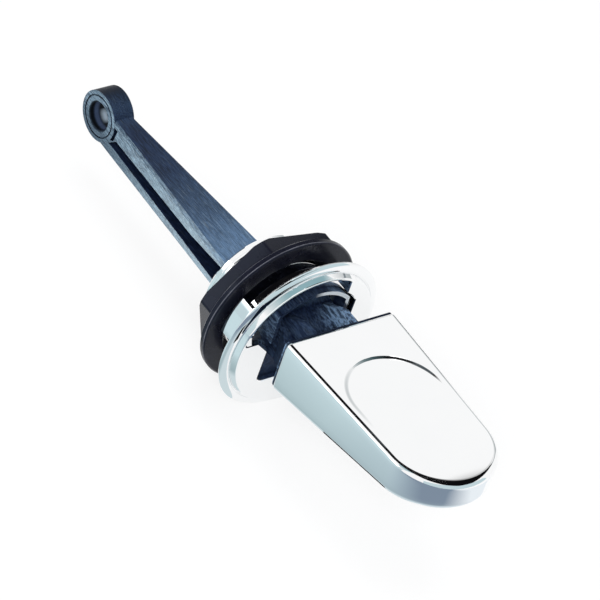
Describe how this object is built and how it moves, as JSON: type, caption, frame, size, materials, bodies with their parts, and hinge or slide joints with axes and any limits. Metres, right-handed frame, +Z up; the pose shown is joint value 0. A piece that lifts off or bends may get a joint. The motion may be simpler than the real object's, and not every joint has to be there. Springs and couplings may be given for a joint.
{
  "type": "cistern lever",
  "caption": "Front-mounted cistern flush lever: a plated thumb paddle on a tapered see-saw arm with a link eye, pivoted in a flanged threaded bush with a hexagon backnut.",
  "frame": {"origin": "on the bush's axis, at the flange's seat face that rests on the outside of the cistern", "axes": "+Y along the bush into the cistern, +Z up, +X to the right seen from the front"},
  "size_m": [0.0436, 0.1521, 0.0436],
  "materials": {
    "plating": "mirror-bright plating",
    "fibre_plastic": "fibre-filled moulding with a satin flow-marked skin",
    "nut_plastic": "satin moulding",
    "steel": "drawn"
  },
  "bodies": {
    "bush": {"bezel_bush": "plating", "pivot_pin": "steel"},
    "lever": {"lever_arm": "fibre_plastic", "paddle": "plating"},
    "nut": {"backnut": "nut_plastic"}
  },
  "joints": [
    {"name": "lever_pivot", "type": "hinge", "parent": "bush", "child": "lever", "pos_m": [0, 0.0022, 0], "axis": [1, 0, 0], "range_deg": [0, 18]},
    {"name": "backnut_travel", "type": "slide", "parent": "bush", "child": "nut", "axis": [0, 1, 0], "range_m": [-0.001, 0.004]}
  ]
}
